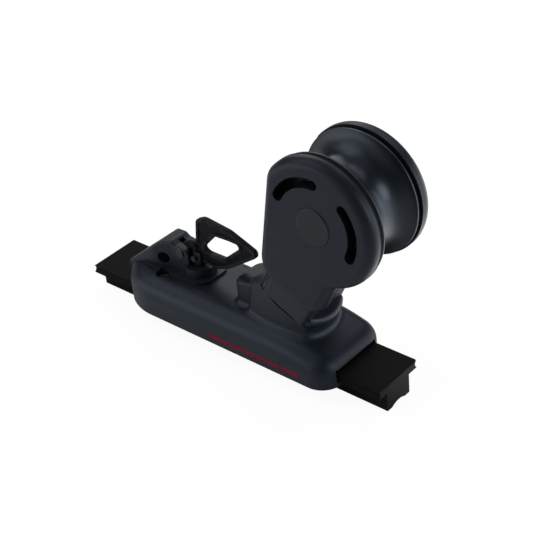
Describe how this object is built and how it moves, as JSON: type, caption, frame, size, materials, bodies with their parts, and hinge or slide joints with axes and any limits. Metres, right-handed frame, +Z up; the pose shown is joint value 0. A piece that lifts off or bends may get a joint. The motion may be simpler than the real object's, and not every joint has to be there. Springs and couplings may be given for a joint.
{
  "type": "genoa car",
  "caption": "Genoa lead car: a low ball-bearing car on a stub of T rail, with a lift-up stop pin and a large sheave that swivels on a raked post.",
  "frame": {"origin": "centre of the foot of the stub rail, midway along it and level with what it rests on", "axes": "+X along the rail towards the sheave end, +Y across it away from the viewer, +Z up"},
  "size_m": [0.1783, 0.0424, 0.1201],
  "materials": {
    "rail_plastic": "matt black, moulded",
    "body_alloy": "black hard anodised, satin",
    "cap_plastic": "black glass filled nylon",
    "housing_plastic": "black glass filled nylon, satin",
    "lever_alloy": "black anodised plate",
    "stainless": "turned stainless steel",
    "dark_pin": "blackened steel",
    "ball_plastic": "amber brown bearing plastic",
    "cheek_alloy": "black hard anodised, satin",
    "sheave_alloy": "black hard anodised, turned",
    "bearing_plastic": "pale bearing plastic"
  },
  "bodies": {
    "rail": {"loader_rail": "rail_plastic"},
    "car": {"car_body": "body_alloy", "front_end_cap": "cap_plastic", "back_end_cap": "cap_plastic", "front_cap_screws": "stainless", "back_cap_screws": "stainless", "far_bearing_balls": "ball_plastic", "near_bearing_balls": "ball_plastic", "pin_housing": "housing_plastic", "housing_screws": "stainless", "stop_spring": "stainless", "lever_pivot_pin": "dark_pin", "king_pin_bush": "bearing_plastic", "seat_washer": "bearing_plastic", "head_washer": "bearing_plastic"},
    "lever": {"lift_lever": "lever_alloy"},
    "stop": {"stop_pin": "stainless", "lift_pin": "stainless"},
    "block": {"block_base": "cheek_alloy", "king_pin": "stainless", "near_cheek": "cheek_alloy", "far_cheek": "cheek_alloy", "cheek_screws": "stainless", "axle": "dark_pin", "axle_screw": "dark_pin", "bearing_sleeve": "stainless", "near_thrust_ring": "bearing_plastic", "far_thrust_ring": "bearing_plastic"},
    "rollers": {"roller_cage": "bearing_plastic", "bearing_rollers": "ball_plastic"},
    "sheave": {"sheave": "sheave_alloy", "sheave_liner": "bearing_plastic"}
  },
  "joints": [
    {"name": "car_slide", "type": "slide", "parent": "rail", "child": "car", "axis": [1, 0, 0], "range_m": [-0.02, 0.02]},
    {"name": "lever_hinge", "type": "hinge", "parent": "car", "child": "lever", "pos_m": [-0.0318, 0, 0.0363], "axis": [0, -1, 0], "range_deg": [0, 40], "stiffness_Nm_per_rad": 0.0077, "springref_deg": -24.06},
    {"name": "stop_pin_slide", "type": "slide", "parent": "car", "child": "stop", "axis": [0, 0, 1], "range_m": [0, 0.0051], "deforming": ["stop_spring"]},
    {"name": "block_swivel", "type": "hinge", "parent": "car", "child": "block", "pos_m": [0.03609, 0, 0.03647], "axis": [0.454, 0, 0.891], "continuous": true},
    {"name": "sheave_spin", "type": "hinge", "parent": "block", "child": "sheave", "pos_m": [0.0628, 0, 0.0911], "axis": [0, 1, 0], "continuous": true},
    {"name": "cage_spin", "type": "hinge", "parent": "block", "child": "rollers", "pos_m": [0.0628, 0, 0.0911], "axis": [0, 1, 0], "continuous": true}
  ],
  "couplings": [
    {"joint": "stop_pin_slide", "follows": "lever_hinge", "m_per_rad": 0.00716},
    {"joint": "cage_spin", "follows": "sheave_spin", "ratio": 0.6154}
  ]
}
